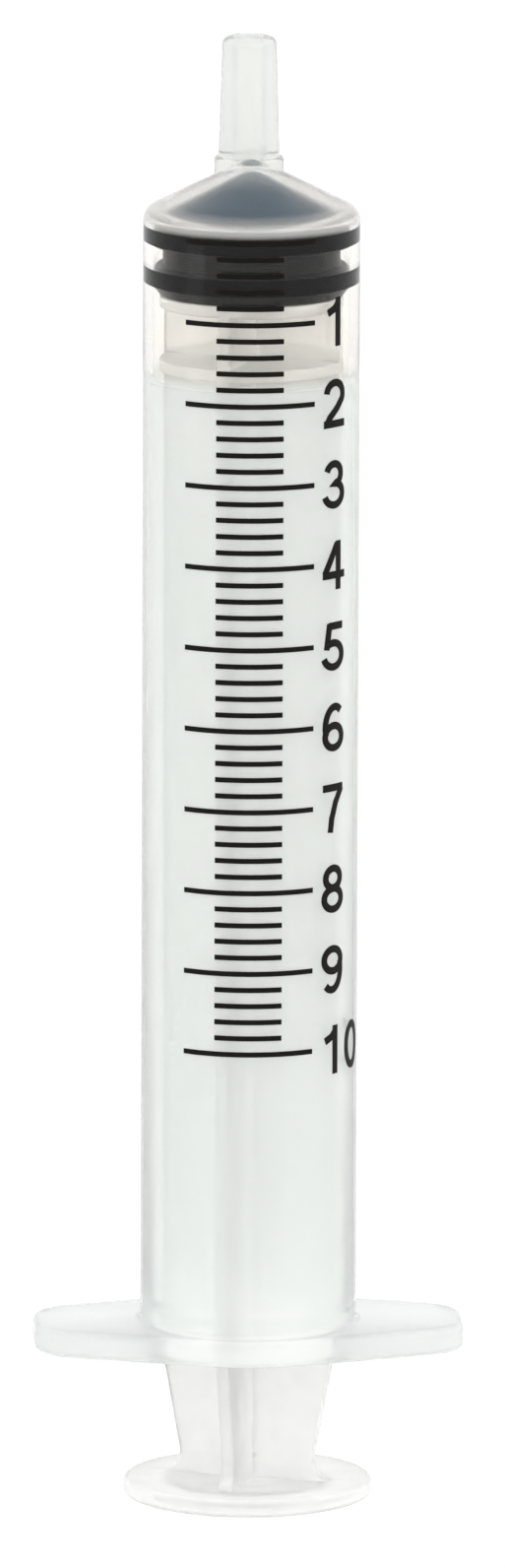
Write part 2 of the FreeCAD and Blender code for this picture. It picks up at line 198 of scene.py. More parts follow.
class FinishColours(PropertyGroup):
    """Colours of the four finishes and of the floor."""

    barrel: srgb("Barrel plastic", "Clear polypropylene of the barrel", "#ffffff")
    plunger: srgb("Plunger plastic", "Natural polypropylene of the plunger", "#fdfdfc")
    rubber: srgb("Stopper rubber", "Black rubber of the stopper", "#040506")
    ink: srgb("Scale ink", "Black ink of the printed scale", "#0b0807")
    floor: srgb("Floor", "Pale floor that the syringe stands on", "#f4f4f2")


class StageSettings(PropertyGroup):
    """Camera and light."""

    distance: mm("Camera distance", "From the camera to its aim", 1700.0)
    lens: plain("Lens", "Focal length in millimetres", 527.9)
    pitch: degrees("Camera pitch", "How far the camera looks down", 10.62)
    turn: degrees("Camera turn", "Turn of the camera round the syringe", -3.0)
    roll: degrees("Camera roll", "Turn of the camera about its own view", 0.2)
    aim_side: mm("Aim to the side", "Sideways shift of the camera's aim", 0.2)
    aim_height: mm("Aim height", "Height of the camera's aim", 53.56)
    key_power: plain("Key lamp", "Power of the key lamp", 0.5, "POWER")
    fill_power: plain("Fill lamp", "Power of the fill lamp", 0.2, "POWER")
    sky_level: plain("Sky level", "Soft light from all round on matt surfaces", 0.95)
    room_level: plain("Room level", "Level that reflections see in front", 0.1)
    through_level: plain(
        "Level through plastic", "What is seen through the plastic beside the backdrop", 0.86
    )
    inside_level: plain(
        "Level inside", "Light that reaches matt surfaces inside the clear plastic", 3.0
    )


# Outlines and meshes


def rounded(*corners, steps=ARC_STEPS):
    """Return the points of a path whose corners, (x, y[, radius]), are rounded."""
    points = []
    for index, corner in enumerate(corners):
        at = Vector(corner[:2])
        if len(corner) == 2 or index in (0, len(corners) - 1):
            points.append(at)
            continue
        radius = corner[2]
        to_before = (Vector(corners[index - 1][:2]) - at).normalized()
        to_after = (Vector(corners[index + 1][:2]) - at).normalized()
        half_angle = to_before.angle(to_after) / 2
        centre = at + (to_before + to_after).normalized() * (radius / math.sin(half_angle))
        reach = radius / math.tan(half_angle)
        start = at + to_before * reach - centre
        sweep = start.angle_signed(at + to_after * reach - centre)
        for step in range(steps + 1):
            points.append(centre + Matrix.Rotation(-sweep * step / steps, 2) @ start)
    return points


def ring(radius, height, angles, offset=0.0):
    """Return a level ring of points about an axis that is offset along +Y."""
    return [(radius * math.cos(angle), offset + radius * math.sin(angle), height) for angle in angles]


def even_angles(columns):
    """Return that many angles, evenly round the circle."""
    return [math.tau * column / columns for column in range(columns)]


def skin(rows, closed):
    """Return a bmesh skinned over rings, closed from last to first or ended by poles or caps."""
    shape = bmesh.new()
    made = [[shape.verts.new(point) for point in row] for row in rows]
    pairs = list(zip(made, made[1:]))
    if closed:
        pairs.append((made[-1], made[0]))
    for lower, upper in pairs:
        count = max(len(lower), len(upper))
        for column in range(count):
            following = (column + 1) % count
            if len(lower) == 1:
                corners = (lower[0], upper[following], upper[column])
            elif len(upper) == 1:
                corners = (lower[column], lower[following], upper[0])
            else:
                corners = (lower[column], lower[following], upper[following], upper[column])
            shape.faces.new(corners)
    if not closed:
        for row in (made[0], made[-1]):
            if len(row) > 1:
                shape.faces.new(row)
    bmesh.ops.recalc_face_normals(shape, faces=shape.faces)
    return shape


def lathe(profile):
    """Return a bmesh turned from a path of (radius, height) about the Z axis."""
    angles = even_angles(TURNED_COLUMNS)
    nearly_zero = 1e-7
    rows = []
    for radius, height in profile:
        on_axis = radius < nearly_zero
        rows.append([(0.0, 0.0, height)] if on_axis else ring(radius, height, angles))
    return skin(rows, closed=False)


def add_piece(name, shape):
    """Turn a bmesh into an object in the scene, and let go of the bmesh."""
    mesh = bpy.data.meshes.new(name)
    shape.to_mesh(mesh)
    shape.free()
    piece = bpy.data.objects.new(name, mesh)
    bpy.context.scene.collection.objects.link(piece)
    return piece


def baked(piece):
    """Replace a piece's mesh by the result of its modifiers, and remove them."""
    bpy.context.view_layer.update()
    graph = bpy.context.evaluated_depsgraph_get()
    mesh = bpy.data.meshes.new_from_object(piece.evaluated_get(graph))
    old = piece.data
    piece.modifiers.clear()
    piece.data = mesh
    mesh.name = piece.name
    bpy.data.meshes.remove(old)


def unite(piece, solids):
    """Fuse closed solids into a piece."""
    others = [add_piece(f"{piece.name}_solid", solid) for solid in solids]
    for other in others:
        union = piece.modifiers.new("fuse", "BOOLEAN")
        union.operation = "UNION"
        union.solver = "MANIFOLD"
        union.object = other
    baked(piece)
    for other in others:
        mesh = other.data
        bpy.data.objects.remove(other)
        bpy.data.meshes.remove(mesh)


def finish_piece(piece, material, body, nodes):
    """Shade a piece smooth, and give it its one material and its place in the frame."""
    if not piece.data.polygons:
        raise RuntimeError(f"{piece.name} has no faces")
    piece.data.shade_smooth()
    piece.data.set_sharp_from_angle(angle=CREASE)
    piece.data.materials.clear()
    piece.data.materials.append(material)
    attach(piece, body)
    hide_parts(*nodes)


# Materials and node trees


def add_node(tree, kind, *sources, **settings):
    """Add a node, fill its first inputs with the sources, and make its settings.

    A setting goes to the node's attribute or input of that name, where underscores stand for
    spaces. An input takes a value, the output of a node, or a node, for its first output.
    """
    node = tree.nodes.new(kind)
    filled = list(zip(node.inputs, sources))
    for name, value in settings.items():
        if hasattr(node, name):
            setattr(node, name, value)
        else:
            filled.append((node.inputs[name.replace("_", " ")], value))
    for socket, source in filled:
        if isinstance(source, bpy.types.Node):
            source = source.outputs[0]
        if isinstance(source, bpy.types.NodeSocket):
            tree.links.new(source, socket)
        else:
            socket.default_value = source
    return node


def new_material(name):
    """Start a material and return it, what adds its nodes and the place that is shaded."""
    material = bpy.data.materials.new(name)
    material.use_nodes = True
    tree = material.node_tree
    tree.nodes.clear()
    add = partial(add_node, tree)
    return material, add, add("ShaderNodeTexCoord").outputs["Object"]


def spots(size):
    """Return the scale at which the spots of a noise texture are that far apart."""
    return 1.0 / size


def barrel_plastic(colours, sizes):
    """Random copolymer polypropylene, injection moulded against a polished core."""
    material, add, place = new_material("moulded_clear_polypropylene")
    height = add("ShaderNodeSeparateXYZ", place).outputs["Z"]
    # The tube is hazy where the melt first met the mould, and clear above the plunger's discs.
    # The flange and tip are thicker and cooled slowly, so they are milky. The narrow milky band at the
    # shoulder is painted light: it stands in for the light that the shoulder's thick corner reflects
    # inside itself.
    # Each stop is a height, how clear the plastic is there, how dull and its tint
    low, high = (corner.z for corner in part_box("barrel"))
    flange_top = low + sizes.flange_thickness
    tube_top = low + sizes.tube_length
    collar_top = tube_top + sizes.collar_rise
    stops = (
        (flange_top, 0.6, 0.18, "#fdfffe"),
        (flange_top + 0.15 * MM, 0.68, 0.15, "#fdfffe"),
        (flange_top + 30.0 * MM, 0.7, 0.12, "#fcfefc"),
        (tube_top - 12.15 * MM, 0.72, 0.09, "#fafcfa"),
        (tube_top - 11.9 * MM, 0.97, 0.06, "#f4f2ee"),
        (tube_top - 7.5 * MM, 1.0, 0.05, "#f4f2ee"),
        (tube_top - 1.0 * MM, 1.0, 0.05, "#f9f9f7"),
        # Painted light: this milky band stands in for light that the shoulder's thick corner reflects
        # inside
        (tube_top - 0.85 * MM, 0.67, 0.1, "#f5f4f1"),
        (tube_top - 0.3 * MM, 0.67, 0.1, "#f5f4f1"),
        (tube_top - 0.1 * MM, 0.98, 0.12, "#f0eee9"),
        (collar_top - 1.5 * MM, 0.96, 0.14, "#f0eee9"),
        (collar_top, 0.72, 0.16, "#f3f4f2"),
    )
    share = add("ShaderNodeMapRange", height, From_Min=low, From_Max=high)
    ramps = [add("ShaderNodeValToRGB", share) for _ in range(2)]
    for ramp in ramps:
        while len(ramp.color_ramp.elements) < len(stops):
            ramp.color_ramp.elements.new(0.5)
    for index, (at, clear, dull, tint) in enumerate(stops):
        colours_here = ((clear, dull, 0.0, 1.0), linear(tint))
        for ramp, colour in zip(ramps, colours_here):
            element = ramp.color_ramp.elements[index]
            element.position = (at - low) / (high - low)
            element.color = colour
    zones = add("ShaderNodeSeparateColor", ramps[0]).outputs
    tint = add(
        "ShaderNodeMixRGB", Color1=ramps[1], blend_type="MULTIPLY", Fac=1.0,
        Color2=colours.barrel,
    )
    # Flow of the melt leaves faint waves about 3 mm long, which bend the highlights a little
    waves = add("ShaderNodeTexNoise", place, Scale=spots(3.0 * MM), Detail=1.0, Roughness=0.4)
    uneven = add("ShaderNodeMapRange", waves, From_Min=0.3, From_Max=0.7, To_Min=0.8, To_Max=1.2)
    rough = add("ShaderNodeMath", zones["Green"], uneven, operation="MULTIPLY")
    bump = add("ShaderNodeBump", Height=waves, Strength=0.12, Distance=0.04 * MM)
    # Polypropylene's own IOR is 1.49. The value here is lower, because a wall that mirrors the
    # inside needs more bounces than are traced, and would turn dark and streaky
    surface = add(
        "ShaderNodeBsdfPrincipled", Base_Color=tint, Transmission_Weight=zones["Red"],
        Roughness=rough, Normal=bump, IOR=1.3, Sheen_Weight=0.1, Sheen_Roughness=0.3,
        Sheen_Tint=linear("#e2eff6"),
    )
    add("ShaderNodeOutputMaterial", surface)
    return material


def plunger_plastic(colours):
    """Natural polypropylene, injection moulded: milky where it is thick, glossy outside."""
    material, add, place = new_material("moulded_natural_polypropylene")
    # Melt that cools unevenly leaves clouds about 4 mm across, in haze and in gloss
    cloud = add("ShaderNodeTexNoise", place, Scale=spots(4.0 * MM), Detail=2.0, Roughness=0.5)
    rough = add("ShaderNodeMapRange", cloud, From_Min=0.3, From_Max=0.7, To_Min=0.16, To_Max=0.26)
    clear = add("ShaderNodeMapRange", cloud, From_Min=0.3, From_Max=0.7, To_Min=0.57, To_Max=0.63)
    bump = add("ShaderNodeBump", Height=cloud, Strength=0.08, Distance=0.04 * MM)
    # The IOR is below polypropylene's 1.49 for the same reason as the barrel's
    surface = add(
        "ShaderNodeBsdfPrincipled", Transmission_Weight=clear, Roughness=rough, Normal=bump,
        Base_Color=colours.plunger, IOR=1.25,
    )
    add("ShaderNodeOutputMaterial", surface)
    return material


def stopper_rubber(colours):
    """Chlorobutyl rubber, compression moulded and wetted with silicone oil: black, half dull."""
    material, add, place = new_material("siliconised_butyl_rubber")
    # The mould's blasted face leaves a grain of about 0.03 mm, drawn at 0.4 mm so that it shows
    grain = add("ShaderNodeTexNoise", place, Scale=spots(0.4 * MM), Detail=3.0, Roughness=0.6)
    # The oil lies in patches about 4 mm across, which are glossier than the bare rubber
    oil = add("ShaderNodeTexNoise", place, Scale=spots(4.0 * MM), Detail=1.0, Roughness=0.5)
    rough = add("ShaderNodeMapRange", oil, From_Min=0.35, From_Max=0.65, To_Min=0.36, To_Max=0.5)
    bump = add("ShaderNodeBump", Height=grain, Strength=0.2, Distance=0.02 * MM)
    # The ribs stay black, and the cone is painted a faint blue. This is painted light: it stands in for
    # the bluish light scattered in the hazy nose plastic over the cone
    height = add("ShaderNodeSeparateXYZ", place).outputs["Z"]
    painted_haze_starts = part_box("stopper")[0].z + 5.3 * MM
    painted_haze_fades_over = 0.4 * MM
    painted_haze = add(
        "ShaderNodeMapRange", height, From_Min=painted_haze_starts,
        From_Max=painted_haze_starts + painted_haze_fades_over,
    )
    tone = add("ShaderNodeMixRGB", painted_haze, Color1=colours.rubber, Color2=linear("#0d344b"))
    surface = add(
        "ShaderNodeBsdfPrincipled", Base_Color=tone, Roughness=rough, Normal=bump, IOR=1.5,
        Specular_IOR_Level=0.08,
    )
    add("ShaderNodeOutputMaterial", surface)
    return material


def scale_ink(colours):
    """Black screen-printing ink, cured on the wall: near black with a warm cast, half matt."""
    material, add, place = new_material("cured_screen_ink")
    # The printing screen's threads are about 0.1 mm apart, drawn at 0.3 mm so that they show
    mesh_marks = add("ShaderNodeTexNoise", place, Scale=spots(0.3 * MM), Detail=2.0, Roughness=0.6)
    tone = add("ShaderNodeMixRGB", mesh_marks, Color1=colours.ink, Color2=linear("#191210"))
    surface = add(
        "ShaderNodeBsdfPrincipled", Base_Color=tone, Roughness=0.55, IOR=1.5,
        Specular_IOR_Level=0.15,
    )
    add("ShaderNodeOutputMaterial", surface)
    return material


def new_group(name, inputs, output):
    """Start a group of Geometry Nodes and return it, what adds its nodes and its inputs."""
    tree = bpy.data.node_groups.new(name, "GeometryNodeTree")
    for label, kind in inputs.items():
        tree.interface.new_socket(label, in_out="INPUT", socket_type=f"NodeSocket{kind}")
    tree.interface.new_socket(output, in_out="OUTPUT", socket_type="NodeSocketGeometry")
    add = partial(add_node, tree)
    return tree, add, add("NodeGroupInput").outputs


def end_group(add, geometry, material):
    """End a group: make its instances real, and give them their material."""
    whole = add("GeometryNodeRealizeInstances", geometry)
    dressed = add("GeometryNodeSetMaterial", whole, Material=material)
    add("NodeGroupOutput", dressed)


def run_group(piece, tree, **values):
    """Run a group on a piece with its inputs set, and keep the result as the piece's mesh."""
    modifier = piece.modifiers.new(tree.name, "NODES")
    modifier.node_group = tree
    sockets = {item.name: item.identifier for item in tree.interface.items_tree}
    for name, value in values.items():
        modifier[sockets[name.replace("_", " ")]] = value
    baked(piece)


# Barrel


def flange_reach(sizes, angle, inset):
    """Return how far the flange's outline, drawn in by an inset, lies from the axis at an angle."""
    hub = sizes.bore / 2 + sizes.wall + sizes.flange_ledge
    wing = sizes.flange_length / 2
    taper = sizes.wing_taper
    corner = sizes.wing_corner_round
    across, along = abs(math.sin(angle)), abs(math.cos(angle))
    centre_x = wing - corner
    centre_y = (hub - corner - centre_x * math.sin(taper)) / math.cos(taper)
    if across * (wing - inset) <= along * centre_y:
        return (wing - inset) / along
    edge_angle = math.pi / 2 - taper
    corner_end_x = centre_x + (corner - inset) * math.cos(edge_angle)
    corner_end_y = centre_y + (corner - inset) * math.sin(edge_angle)
    if across * corner_end_x <= along * corner_end_y:
        middle = along * centre_x + across * centre_y
        aside = along * centre_y - across * centre_x
        return middle + math.sqrt((corner - inset) ** 2 - aside**2)
    flat_angle = math.atan2(across, along)
    if flat_angle <= edge_angle:
        return (hub - inset) / math.cos(edge_angle - flat_angle)
    return hub - inset


def barrel_shape(sizes):
    """Return the barrel as one closed skin of rings, from its flange up and back down its bore."""
    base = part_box("barrel")[0].z
    bore = sizes.bore / 2
    outside = bore + sizes.wall
    slope = math.tan(sizes.cone_slope)
    tube_top = base + sizes.tube_length
    outer_apex = tube_top + outside * slope
    inner_apex = outer_apex - sizes.cone_wall / math.cos(sizes.cone_slope)
    flange_top = base + sizes.flange_thickness
    collar_top = tube_top + sizes.collar_rise
    tip_top = collar_top + sizes.tip_length
    angles = even_angles(BARREL_COLUMNS)
    rows = []

    def on_flank(apex, reach, angle):
        """Return the point of a cone at a reach and an angle from the tip's axis."""
        x = reach * math.cos(angle)
        y = sizes.tip_offset + reach * math.sin(angle)
        return (x, y, apex - slope * math.sqrt(x * x + y * y + sizes.apex_round**2))

    # The flange's edge
    edge = sizes.flange_edge_round
    rim = rounded((2 * edge, base), (0, base, edge), (0, flange_top, edge), (2 * edge, flange_top))
    for inset, height in rim[1:-1]:
        reaches = [flange_reach(sizes, angle, inset) for angle in angles]
        rows.append([(r * math.cos(a), r * math.sin(a), height) for r, a in zip(reaches, angles)])

    # The tube's outside and the shoulder
    inward = outside - 2 * sizes.shoulder_round
    shoulder = rounded(
        (outside + sizes.flange_ledge, flange_top),
        (outside, flange_top, sizes.flange_root_round),
        (outside, tube_top, sizes.shoulder_round),
        (inward, outer_apex - inward * slope),
    )
    rows += [ring(radius, height, angles) for radius, height in shoulder[1:-1]]

    # The nose's flank, whose rings shift from the tube's axis to the tip's as they close in.
    # The root's radius shrinks where the nose runs up against the collar's top
    collar = sizes.collar / 2
    root_round = 0.3 * MM
    least_room = 0.1
    directions = [Vector((x, y - sizes.tip_offset)) for x, y, _ in rows[-1]]
    tip_angles = [math.atan2(direction.y, direction.x) for direction in directions]
    feet = [on_flank(outer_apex, collar, angle)[2] for angle in tip_angles]
    needed = root_round + sizes.collar_round
    room = [min(1.0, max(least_room, (collar_top - foot) / needed)) for foot in feet]
    flank_steps = 34
    for step in range(1, flank_steps + 1):
        share = step / flank_steps
        row = []
        for direction, angle, free in zip(directions, tip_angles, room):
            near, far = collar + root_round * free, direction.length
            row.append(on_flank(outer_apex, far + (near - far) * share, angle))
        rows.append(row)
    for step in range(1, ARC_STEPS + 1):
        turn = math.pi / 2 * step / ARC_STEPS
        row = []
        for angle, free in zip(tip_angles, room):
            reach = collar + root_round * free * (1 - math.sin(turn))
            x, y, height = on_flank(outer_apex, reach, angle)
            row.append((x, y, height + root_round * free * (1 - math.cos(turn))))
        rows.append(row)
    highest_root = [point[2] for point in rows[-1]]

    # The collar, the tip and its channel
    tip_end = sizes.tip_end / 2
    tip_root = tip_end + sizes.tip_length * sizes.luer_taper / 2
    channel = sizes.channel / 2
    channel_round = 0.12 * MM
    tip = rounded(
        (collar, tube_top),
        (collar, collar_top, sizes.collar_round),
        (tip_root, collar_top),
        (tip_end, tip_top, sizes.tip_round),
        (channel, tip_top, channel_round),
        (channel, tube_top),
    )
    for reach, height in tip[1:-1]:
        row = ring(reach, height, tip_angles, sizes.tip_offset)
        rows.append([(x, y, max(z, low)) for (x, y, z), low in zip(row, highest_root)])

    # The nose's inside, out from the channel to the bore
    bore_round, bore_chamfer, chamfer_room = 0.35 * MM, 0.3 * MM, 1.0 * MM
    flank_end = bore - bore_chamfer - chamfer_room
    inner_flank = rounded(
        (flank_end, inner_apex - flank_end * slope),
        (bore, inner_apex - bore * slope, bore_round),
        (bore, base + sizes.bead_height + sizes.bead_width / 2),
    )[1:-1]
    inner_steps = 20
    for step in range(inner_steps):
        share = 1 - step / inner_steps
        row = []
        for x, y, _ in ring(inner_flank[0].x, 0.0, angles):
            direction = Vector((x, y - sizes.tip_offset))
            angle = math.atan2(direction.y, direction.x)
            far = direction.length
            row.append(on_flank(inner_apex, far + (channel - far) * share, angle))
        rows.append(row)
    rows += [ring(radius, height, angles) for radius, height in inner_flank]

    # The ring that holds the stopper in, and the mouth
    bead_steps = 10
    for step in range(bead_steps + 1):
        share = 1 - 2 * step / bead_steps
        rise = sizes.bead_rise * (1 + math.cos(math.pi * share)) / 2
        height = base + sizes.bead_height + sizes.bead_width / 2 * share
        rows.append(ring(bore - rise, height, angles))
    mouth_round, room = 0.25 * MM, 1.0 * MM
    mouth = rounded((bore, base + room), (bore, base, mouth_round), (bore + room, base))
    rows += [ring(radius, height, angles) for radius, height in mouth[1:-1]]
    return skin(rows, closed=True)


class SYRINGE_OT_barrel(Operator):
    """Make the clear barrel, with its flange, nose and tip as one moulding"""

    bl_idname = "syringe.barrel"
    bl_label = "Barrel"

    def execute(self, context):
        sizes = context.scene.syringe_barrel
        piece = add_piece("barrel_moulding", barrel_shape(sizes))
        plastic = barrel_plastic(context.scene.syringe_colours, sizes)
        finish_piece(piece, plastic, "barrel", ["barrel"])
        return {"FINISHED"}


# Stopper


def stopper_profile(barrel, sizes):
    """Return the stopper's outline from the top of its hollow, down, out and up to its point."""
    low, high = (corner.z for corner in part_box("stopper"))
    rib = barrel.bore / 2 + sizes.squeeze
    groove = barrel.bore / 2 - sizes.groove_depth
    rear_top = low + sizes.bevel_height + sizes.rib_width
    front_base = rear_top + sizes.groove_width
    front_top = front_base + sizes.rib_width
    cone_foot = rib - sizes.front_inset
    cone_base = front_top + sizes.front_height
    cone_top = cone_base + cone_foot * math.tan(barrel.cone_slope)
    point = 0.6 * MM
    point_flattening = 0.4
    point_fall = 0.05 * MM
    top = min(high, cone_top - point * point_flattening)
    # The hollow follows the plunger's snap head, with a little room over it
    hollow_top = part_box("plunger")[1].z + 0.12 * MM
    hollow_top_radius = 1.88 * MM
    hollow_radius = 3.68 * MM
    hollow_shoulder = low + 2.95 * MM
    mouth_radius = 2.48 * MM
    mouth_height = low + 1.17 * MM
    soft = 0.12 * MM
    bevel_soft = 0.15 * MM
    rib_soft = 0.2 * MM
    cone_foot_soft = 0.3 * MM
    cone_step = 0.05 * MM
    point_soft = 0.5 * MM
    return rounded(
        (0.0, hollow_top),
        (hollow_top_radius, hollow_top, soft),
        (hollow_radius, hollow_shoulder, soft),
        (hollow_radius, mouth_height, soft),
        (mouth_radius, mouth_height, soft),
        (mouth_radius, low, soft),
        (rib - sizes.bevel_inset, low, bevel_soft),
        (rib, low + sizes.bevel_height, rib_soft),
        (rib, rear_top, sizes.rib_round),
        (groove, rear_top, soft),
        (groove, front_base, soft),
        (rib, front_base, sizes.rib_round),
        (rib, front_top - cone_step, rib_soft),
        (cone_foot, cone_base, cone_foot_soft),
        (point, top - point_fall, point_soft),
        (0.0, top),
    )


class SYRINGE_OT_stopper(Operator):
    """Make the rubber stopper, whose ribs press on the bore"""

    bl_idname = "syringe.stopper"
    bl_label = "Stopper"

    def execute(self, context):
        scene = context.scene
        profile = stopper_profile(scene.syringe_barrel, scene.syringe_stopper)
        piece = add_piece("rubber_stopper", lathe(profile))
        rubber = stopper_rubber(scene.syringe_colours)
        finish_piece(piece, rubber, "stopper", ["stopper"])
        return {"FINISHED"}


# Plunger


def rib_shape(sizes, full, low, high):
    """Return one rib of the plunger, from the axis out along +X, as a closed solid."""
    thumb_top = low + sizes.thumb_rest_thickness
    taper_round, run_out = 3.0 * MM, 2.0 * MM
    bend_steps, edge_steps = 10, 4
    outline = rounded(
        (full, high),
        (full, low + sizes.taper_height, taper_round),
        (sizes.waist / 2, thumb_top, sizes.flare_round),
        (full + run_out, thumb_top),
        steps=bend_steps,
    )[:-1]
    outline.append(Vector((outline[-1].x, low + sizes.thumb_rest_thickness / 2)))
    half = sizes.rib_thickness / 2
    rows = []
    for reach, height in outline:
        narrowing = (sizes.rib_thickness - sizes.rib_edge) / 2 * reach / full
        edge_half = half - narrowing
        section = rounded(
            (0.0, -half),
            (reach, -edge_half, sizes.rib_round),
            (reach, edge_half, sizes.rib_round),
            (0.0, half),
            steps=edge_steps,
        )
        rows.append([(x, y, height) for x, y in section])
    return skin(rows, closed=False)


def rib_tree(material):
    """Geometry Nodes that repeat a rib round the axis and fuse the copies."""
    inputs = {"Rib": "Geometry", "Count": "Int", "Turn": "Float"}
    tree, add, given = new_group("plunger_ribs", inputs, "Ribs")
    places = add("GeometryNodeMeshLine", given["Count"], Offset=(0.0, 0.0, 0.0))
    index = add("GeometryNodeInputIndex")
    step = add("ShaderNodeMath", math.tau, given["Count"], operation="DIVIDE")
    angle = add("ShaderNodeMath", index, step, given["Turn"], operation="MULTIPLY_ADD")
    spin = add("ShaderNodeCombineXYZ", Z=angle)
    copies = add("GeometryNodeInstanceOnPoints", places, Instance=given["Rib"], Rotation=spin)
    fused = add("GeometryNodeMeshBoolean", Mesh_2=copies, operation="UNION", solver="MANIFOLD")
    end_group(add, fused, material)
    return tree


def turned_profiles(sizes, full, low, high):
    """Return the outlines of the thumb rest, of the lower disc, and of the upper one and head."""
    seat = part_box("stopper")[0].z - SEAT_GAP
    rim = sizes.thumb_rest / 2
    top = low + sizes.thumb_rest_thickness
    grip_soft = 0.08 * MM
    grips = []
    for step in range(2):
        inner = sizes.grip_ring / 2 + step * sizes.grip_pitch
        outer = inner + sizes.grip_width
        roof = low + sizes.grip_depth
        for radius, height in ((inner, low), (inner, roof), (outer, roof), (outer, low)):
            grips.append((radius, height, grip_soft))
    thumb_rest = rounded(
        (0.0, low),
        *grips,
        (rim, low, sizes.thumb_rest_round),
        (rim, top, sizes.thumb_rest_round),
        (0.0, top),
    )
    soft = 0.15 * MM
    lower_base = seat - sizes.disc_thickness - sizes.disc_spacing
    lower_disc = rounded(
        (0.0, lower_base),
        (full, lower_base, soft),
        (full, lower_base + sizes.disc_thickness, soft),
        (0.0, lower_base + sizes.disc_thickness),
    )
    neck, head, head_top = 2.4 * MM, 3.6 * MM, 1.8 * MM
    head_base = seat + 1.3 * MM
    head_shoulder = seat + 3.0 * MM
    upper_disc_and_head = rounded(
        (0.0, seat - sizes.disc_thickness),
        (full, seat - sizes.disc_thickness, soft),
        (full, seat, soft),
        (neck, seat),
        (neck, head_base),
        (head, head_base, soft),
        (head, head_shoulder, soft),
        (head_top, high, soft),
        (0.0, high),
    )
    return thumb_rest, lower_disc, upper_disc_and_head


class SYRINGE_OT_plunger(Operator):
    """Make the plunger: ribs, discs, snap head and thumb rest fused into one moulding"""

    bl_idname = "syringe.plunger"
    bl_label = "Plunger"

    def execute(self, context):
        sizes = context.scene.syringe_plunger
        full = context.scene.syringe_barrel.bore / 2 - sizes.clearance
        low, high = (corner.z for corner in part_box("plunger"))
        ribs_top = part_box("stopper")[0].z - SEAT_GAP - sizes.disc_thickness / 2
        plastic = plunger_plastic(context.scene.syringe_colours)
        piece = add_piece("plunger_moulding", rib_shape(sizes, full, low, ribs_top))
        run_group(piece, rib_tree(plastic), Count=sizes.rib_count, Turn=sizes.rib_turn)
        unite(piece, [lathe(profile) for profile in turned_profiles(sizes, full, low, high)])
        finish_piece(piece, plastic, "plunger", ["plunger"])
        return {"FINISHED"}


# Printed scale


def line_tree(material):
    """Geometry Nodes that print the scale's lines, long at each millilitre and short between."""
    inputs = {"Count": "Int", "Parts": "Int"}
    for name in ("Spacing", "Top", "Radius", "Ink", "Width", "Long Angle", "Short Angle", "Turn"):
        inputs[name] = "Float"
    tree, add, given = new_group("scale_lines", inputs, "Lines")
    start = add("ShaderNodeCombineXYZ", Z=given["Top"])
    fall = add("ShaderNodeMath", given["Spacing"], -1.0, operation="MULTIPLY")
    step = add("ShaderNodeCombineXYZ", Z=fall)
    places = add("GeometryNodeMeshLine", given["Count"], Start_Location=start, Offset=step)
    index = add("GeometryNodeInputIndex")
    part = add("ShaderNodeMath", index, given["Parts"], operation="MODULO")
    both = add("GeometryNodeJoinGeometry")
    for kind, name, columns in (("LESS_THAN", "Long Angle", 49), ("GREATER_THAN", "Short Angle", 25)):
        # A thin slab is bent round the wall: its X is the angle, Y the height and Z the ink
        size = add("ShaderNodeCombineXYZ", X=given[name], Y=given["Width"], Z=given["Ink"])
        slab = add("GeometryNodeMeshCube", size, Vertices_X=columns)
        spot = add("GeometryNodeInputPosition")
        flat = add("ShaderNodeSeparateXYZ", spot).outputs
        turned = add("ShaderNodeMath", flat["X"], given["Turn"], operation="ADD")
        reach = add("ShaderNodeMath", flat["Z"], given["Radius"], operation="ADD")
        bent = {"Z": flat["Y"]}
        for axis, wave, way in (("X", "SINE", 1.0), ("Y", "COSINE", -1.0)):
            share = add("ShaderNodeMath", turned, operation=wave)
            bent[axis] = reach
            for factor in (share, way):
                bent[axis] = add("ShaderNodeMath", bent[axis], factor, operation="MULTIPLY")
        curve = add("ShaderNodeCombineXYZ", **bent)
        wrapped = add("GeometryNodeSetPosition", slab, Position=curve)
        chosen = add("ShaderNodeMath", part, 0.5, operation=kind)
        copies = add("GeometryNodeInstanceOnPoints", places, Selection=chosen, Instance=wrapped)
        tree.links.new(copies.outputs["Instances"], both.inputs["Geometry"])
    end_group(add, both, material)
    return tree


def millilitre(barrel):
    """Return the length of the bore that holds one millilitre."""
    return 1e-6 / (math.pi * (barrel.bore / 2) ** 2)


class SYRINGE_OT_scale_lines(Operator):
    """Print the scale's lines on the barrel"""

    bl_idname = "syringe.scale_lines"
    bl_label = "Scale lines"

    def execute(self, context):
        barrel = context.scene.syringe_barrel
        sizes = context.scene.syringe_scale
        ink = scale_ink(context.scene.syringe_colours)
        piece = add_piece("scale_lines", bmesh.new())
        outside = barrel.bore / 2 + barrel.wall
        run_group(
            piece,
            line_tree(ink),
            Count=sizes.volume * sizes.parts + 1,
            Parts=sizes.parts,
            Spacing=millilitre(barrel) / sizes.parts,
            Top=sizes.zero_height,
            Radius=outside + (sizes.ink_rise - sizes.ink_bite) / 2,
            Ink=sizes.ink_rise + sizes.ink_bite,
            Width=sizes.line_width,
            Long_Angle=sizes.long_angle,
            Short_Angle=sizes.short_angle,
            Turn=sizes.print_turn,
        )
        nodes = ["scale_long_marks", "scale_short_marks"]
        finish_piece(piece, ink, "barrel", nodes)
        return {"FINISHED"}


def arc(centre, radii, start, end, steps):
    """Return points of an elliptic arc between two angles in degrees."""
    angles = [math.radians(start + (end - start) * step / steps) for step in range(steps + 1)]
    return [
        (centre[0] + radii[0] * math.cos(angle), centre[1] + radii[1] * math.sin(angle))
        for angle in angles
    ]


